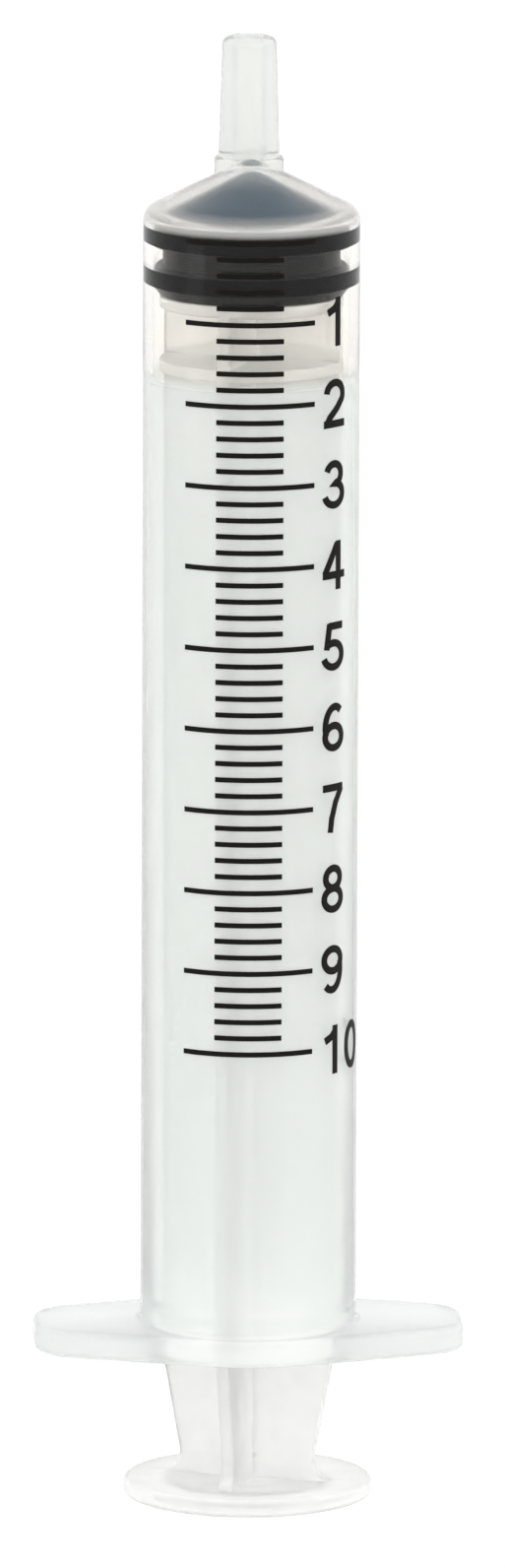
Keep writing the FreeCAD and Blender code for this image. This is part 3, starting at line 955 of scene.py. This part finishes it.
def numeral_strokes(numeral):
    """Return the middle lines of a numeral's strokes, in a box 1 wide and 1.5 high.

    The strokes are about 0.24 wide, so level ones at foot and head stay 0.12 inside the box.
    """
    foot, head = 0.12, 1.38
    return {
        "0": [arc((0.5, 0.75), (0.38, 0.63), 0, 360, 40)],
        "1": [[(0.62, 0.0), (0.62, 1.5)], [(0.62, 1.33), (0.46, 1.16), (0.17, 1.04)]],
        "2": [
            arc((0.5, 1.02), (0.37, 0.36), 175, -28, 20)
            + [(0.6, 0.6), (0.27, 0.32), (0.14, 0.12)],
            [(0.02, foot), (0.96, foot)],
        ],
        "3": [
            arc((0.47, 1.07), (0.32, 0.31), 165, -90, 20)
            + arc((0.47, 0.46), (0.4, 0.34), 90, -168, 24)[1:]
        ],
        "4": [[(0.68, 0.0), (0.68, 1.5)], [(0.62, 1.42), (0.08, 0.5)], [(0.0, 0.46), (1.0, 0.46)]],
        "5": [
            [(0.9, head), (0.26, head)],
            [(0.3, 1.46), (0.17, 0.66)],
            arc((0.46, 0.49), (0.41, 0.37), 128, -165, 26),
        ],
        "6": [arc((0.5, 0.46), (0.38, 0.34), 0, 360, 36), arc((0.55, 0.75), (0.42, 0.63), 52, 205, 20)],
        "7": [[(0.04, head), (0.94, head)], [(0.88, 1.36), (0.6, 0.92), (0.42, 0.42), (0.36, 0.0)]],
        "8": [arc((0.5, 1.08), (0.33, 0.3), 0, 360, 32), arc((0.5, 0.44), (0.39, 0.32), 0, 360, 36)],
        "9": [
            arc((0.5, 1.04), (0.38, 0.34), 0, 360, 36),
            arc((0.45, 0.75), (0.42, 0.63), 232, 385, 20),
        ],
    }[numeral]


def stroke_shape(points, weight, low, high):
    """Return a closed ribbon of constant width along a path in the XY plane."""
    path = [Vector(point) for point in points]
    closing_share = 0.05
    looped = (path[0] - path[-1]).length < weight * closing_share
    if looped:
        path.pop()
    count = len(path)
    sharpest = 0.5
    rows = []
    for index, point in enumerate(path):
        before = path[index - 1] if looped or index else point
        after = path[(index + 1) % count] if looped or index + 1 < count else point
        incoming = ((point - before) if before != point else (after - point)).normalized()
        outgoing = (after - point).normalized() if after != point else incoming
        along = (incoming + outgoing).normalized()
        width = weight / 2 / max(sharpest, along.dot(incoming))
        aside = Vector((-along.y, along.x)) * width
        left, right = point + aside, point - aside
        rows.append([(*left, low), (*right, low), (*right, high), (*left, high)])
    return skin(rows, closed=looped)


def flat_numeral(text, sizes, advance):
    """Return an object that holds a numeral, flat in the XY plane, its middle at the origin."""
    # The strokes are drawn in a box one unit wide, and their depth here goes when they are wrapped
    box_height, half_depth, hair = 1.5, 0.5, 0.003
    unit = sizes.numeral_height / box_height
    stretch = sizes.numeral_width / unit
    solids = []
    for index, numeral in enumerate(text):
        shift = (index - (len(text) - 1) / 2) * advance * stretch - stretch / 2
        for count, stroke in enumerate(numeral_strokes(numeral)):
            # Each stroke is a hair thicker than the last, so that no two share a face
            half = half_depth + hair * count
            path = [((x * stretch + shift) * unit, (y - box_height / 2) * unit) for x, y in stroke]
            solids.append(stroke_shape(path, sizes.numeral_weight, -half * MM, half * MM))
    piece = add_piece(f"numeral_{text}", solids[0])
    if len(solids) > 1:
        unite(piece, solids[1:])
    return piece


def wrap_numeral(piece, radius, ink, turn, height):
    """Cut a flat numeral into upright strips and lay it on the wall as thin ink."""
    shape = bmesh.new()
    shape.from_mesh(piece.data)
    start = min(vert.co.x for vert in shape.verts)
    span = max(vert.co.x for vert in shape.verts) - start
    strip_width = 0.22 * MM
    on_plane = 1e-8
    strips = max(2, int(span / strip_width))
    for strip in range(1, strips):
        everything = shape.verts[:] + shape.edges[:] + shape.faces[:]
        at = Vector((start + span * strip / strips, 0.0, 0.0))
        bmesh.ops.bisect_plane(shape, geom=everything, plane_co=at, plane_no=(1, 0, 0), dist=on_plane)
    for vert in shape.verts:
        angle = vert.co.x / radius + turn
        reach = radius + (ink[1] if vert.co.z > 0 else -ink[0])
        vert.co = (reach * math.sin(angle), -reach * math.cos(angle), vert.co.y + height)
    bmesh.ops.recalc_face_normals(shape, faces=shape.faces)
    shape.to_mesh(piece.data)
    shape.free()


class SYRINGE_OT_numerals(Operator):
    """Print a numeral beside each long line of the scale"""

    bl_idname = "syringe.numerals"
    bl_label = "Numerals"

    def execute(self, context):
        barrel = context.scene.syringe_barrel
        sizes = context.scene.syringe_scale
        outside = barrel.bore / 2 + barrel.wall
        # From one numeral of a number to the next, in widths of a numeral
        advance = 1.14
        together = bmesh.new()
        for number in range(1, sizes.volume + 1):
            text = str(number)
            piece = flat_numeral(text, sizes, advance)
            # A longer number starts where a single numeral does, so its middle lies further round
            extra = (len(text) - 1) * 0.5 * advance * sizes.numeral_width / outside
            turn = sizes.print_turn + sizes.numeral_angle + extra
            height = sizes.zero_height - number * millilitre(barrel) - sizes.numeral_drop
            wrap_numeral(piece, outside, (sizes.ink_bite, sizes.ink_rise), turn, height)
            together.from_mesh(piece.data)
            bpy.data.objects.remove(piece)
        numerals = add_piece("scale_numerals", together)
        ink = bpy.data.materials["cured_screen_ink"]
        finish_piece(numerals, ink, "barrel", [])
        return {"FINISHED"}


# Stage


def plain_floor(colours):
    """Pale matt board: white to the camera, with the syringe's soft shadow left on it."""
    material, add, place = new_material("pale_matt_board")
    path = add("ShaderNodeLightPath").outputs
    shown = path["Is Camera Ray"]
    for kind in ("Is Glossy Ray", "Is Transmission Ray"):
        shown = add("ShaderNodeMath", shown, path[kind], operation="MAXIMUM")
    glow_share = 0.86
    glow_level = 1.06
    share = add("ShaderNodeMath", shown, glow_share, operation="MULTIPLY")
    # Clumps of fibre in the board are about 2.5 mm across
    fibre = add("ShaderNodeTexNoise", place, Scale=spots(2.5 * MM), Detail=2.0)
    tone = add("ShaderNodeMixRGB", fibre, Color1=colours.floor, Color2=linear("#fbfbfa"))
    matt = add("ShaderNodeBsdfDiffuse", tone)
    glow = add("ShaderNodeEmission", Color=(1.0, 1.0, 1.0, 1.0), Strength=glow_level)
    mixed = add("ShaderNodeMixShader", share, matt, glow)
    add("ShaderNodeOutputMaterial", mixed)
    return material


def light_world(stage):
    """White backdrop to the camera and through the plastic, a dimmer room in front in reflections."""
    world = bpy.data.worlds.new("studio")
    bpy.context.scene.world = world
    world.use_nodes = True
    tree = world.node_tree
    tree.nodes.clear()
    add = partial(add_node, tree)
    path = add("ShaderNodeLightPath").outputs
    sky = add("ShaderNodeTexCoord").outputs["Generated"]
    towards = add("ShaderNodeSeparateXYZ", sky).outputs["Y"]
    behind = add(
        "ShaderNodeMapRange", towards, interpolation_type="SMOOTHSTEP", From_Min=-0.5,
        From_Max=0.5,
    )
    mirrored = add("ShaderNodeMapRange", behind, To_Min=stage.room_level, To_Max=1.0)
    through = add(
        "ShaderNodeMapRange", towards, interpolation_type="SMOOTHSTEP", From_Min=0.4,
        From_Max=0.95, To_Min=stage.through_level, To_Max=1.0,
    )
    # Light scattered inside the plastic takes more bounces than are traced, so a ray that has been
    # through more of its faces finds a brighter sky, which stands for the bounces that are cut off
    inside = add(
        "ShaderNodeMapRange", path["Transmission Depth"], From_Min=1.5, From_Max=4.0,
        To_Min=stage.sky_level, To_Max=stage.inside_level,
    )
    tests = []
    for operation, depth, limit in (
        ("GREATER_THAN", "Glossy Depth", 0.5),
        ("LESS_THAN", "Glossy Depth", 1.5),
        ("LESS_THAN", "Ray Depth", 3.5),
        ("GREATER_THAN", "Diffuse Depth", 0.5),
    ):
        test = add("ShaderNodeMath", path[depth], limit, operation=operation)
        tests.append(test)
    mirrored_once, not_twice, shallow, scattered = tests
    for also in (not_twice, shallow):
        mirrored_once = add("ShaderNodeMath", mirrored_once, also, operation="MULTIPLY")
    # Each kind of ray puts its own level in the place of the one before
    level = stage.sky_level
    for share, other in (
        (path["Is Transmission Ray"], through),
        (mirrored_once, mirrored),
        (scattered, inside),
        (path["Is Camera Ray"], 1.0),
    ):
        level = add("ShaderNodeMix", Factor=share, A=level, B=other, data_type="FLOAT")
    background = add("ShaderNodeBackground", Strength=level, Color=(1.0, 1.0, 1.0, 1.0))
    add("ShaderNodeOutputWorld", background)


def add_lamp(name, place, size, power):
    """Hang a soft lamp that points at the syringe's middle."""
    lamp = bpy.data.lights.new(name, "AREA")
    lamp.shape = "RECTANGLE"
    lamp.size, lamp.size_y = size
    lamp.energy = power
    holder = bpy.data.objects.new(name, lamp)
    bpy.context.scene.collection.objects.link(holder)
    holder.location = place
    middle = Vector((0.0, 0.0, 0.06))
    holder.rotation_euler = (middle - Vector(place)).to_track_quat("-Z", "Y").to_euler()


def add_camera(stage):
    """Stand the camera where the photograph was taken from."""
    camera = bpy.data.cameras.new("camera")
    camera.sensor_fit = "VERTICAL"
    camera.sensor_height = 36.0
    camera.lens = stage.lens
    camera.clip_start = 0.05
    camera.clip_end = 50.0
    holder = bpy.data.objects.new("camera", camera)
    bpy.context.scene.collection.objects.link(holder)
    bpy.context.scene.camera = holder
    around = Matrix.Rotation(stage.turn, 4, "Z")
    level = Matrix.Rotation(math.pi / 2 - stage.pitch, 4, "X")
    away = Matrix.Translation((0.0, 0.0, stage.distance))
    target = Matrix.Translation((stage.aim_side, 0.0, stage.aim_height))
    roll = Matrix.Rotation(stage.roll, 4, "Z")
    holder.matrix_world = around @ target @ level @ away @ roll


class SYRINGE_OT_stage(Operator):
    """Set the floor, the soft light and the camera"""

    bl_idname = "syringe.stage"
    bl_label = "Stage"

    def execute(self, context):
        scene = context.scene
        stage = scene.syringe_stage
        scene.view_settings.view_transform = "Standard"
        light_world(stage)
        add_lamp("key_softbox", (0.42, -0.42, 0.42), (0.3, 0.5), stage.key_power)
        add_lamp("fill_softbox", (-0.55, -0.25, 0.25), (0.25, 0.5), stage.fill_power)
        board = bmesh.new()
        half_width = 6.0
        bmesh.ops.create_grid(board, x_segments=1, y_segments=1, size=half_width)
        floor = add_piece("floor", board)
        floor.data.materials.append(plain_floor(scene.syringe_colours))
        add_camera(stage)
        return {"FINISHED"}


class SYRINGE_PT_pieces(Panel):
    """Buttons for each piece and for the stage"""

    bl_idname = "SYRINGE_PT_pieces"
    bl_label = "Syringe"
    bl_space_type = "VIEW_3D"
    bl_region_type = "UI"
    bl_category = "Syringe"

    def draw(self, context):
        for operator in OPERATORS:
            self.layout.operator(operator.bl_idname)


OPERATORS = (
    SYRINGE_OT_barrel,
    SYRINGE_OT_stopper,
    SYRINGE_OT_plunger,
    SYRINGE_OT_scale_lines,
    SYRINGE_OT_numerals,
    SYRINGE_OT_stage,
)
GROUPS = {
    "syringe_barrel": BarrelSizes,
    "syringe_stopper": StopperSizes,
    "syringe_plunger": PlungerSizes,
    "syringe_scale": ScaleSizes,
    "syringe_colours": FinishColours,
    "syringe_stage": StageSettings,
}


def register():
    """Register the classes and hang the settings on the scene."""
    for item in (*GROUPS.values(), *OPERATORS, SYRINGE_PT_pieces):
        bpy.utils.register_class(item)
    for name, group in GROUPS.items():
        setattr(bpy.types.Scene, name, PointerProperty(type=group))


def unregister():
    """Undo what register does."""
    for name in GROUPS:
        delattr(bpy.types.Scene, name)
    for item in reversed((*GROUPS.values(), *OPERATORS, SYRINGE_PT_pieces)):
        bpy.utils.unregister_class(item)


def main():
    register()
    for operator in OPERATORS:
        group, name = operator.bl_idname.split(".")
        getattr(getattr(bpy.ops, group), name)()


if __name__ == "__main__":
    main()
